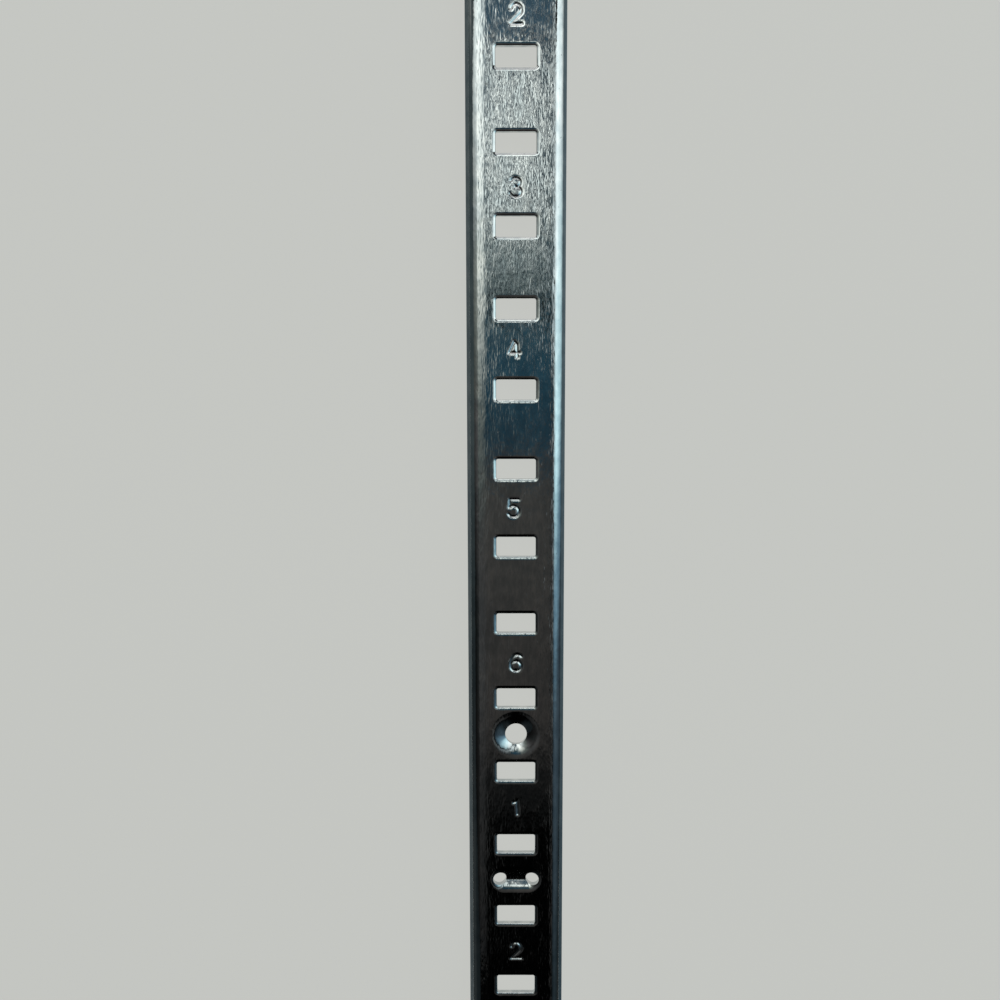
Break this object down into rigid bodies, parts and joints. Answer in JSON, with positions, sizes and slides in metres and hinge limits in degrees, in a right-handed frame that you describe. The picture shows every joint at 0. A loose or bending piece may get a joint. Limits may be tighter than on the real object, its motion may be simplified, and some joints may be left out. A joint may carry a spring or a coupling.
{
  "type": "pilaster wall standard",
  "caption": "Shallow zinc-plated steel channel with a row of clip slots, screw dimples and staple dimples, for adjustable shelves.",
  "frame": {"origin": "middle of the strip's length and width, on the plane of the flange edges that lie on the wall", "axes": "+Z out of the front face, away from the wall; +Y along the strip, towards the end at which the numbers start; +X to the right as the face is read"},
  "size_m": [0.0158, 0.6096, 0.0048],
  "materials": {
    "zinc": "bright zinc plating with fine lengthwise rolling lines"
  },
  "bodies": {
    "root": {"pilaster_standard": "zinc"}
  },
  "joints": []
}
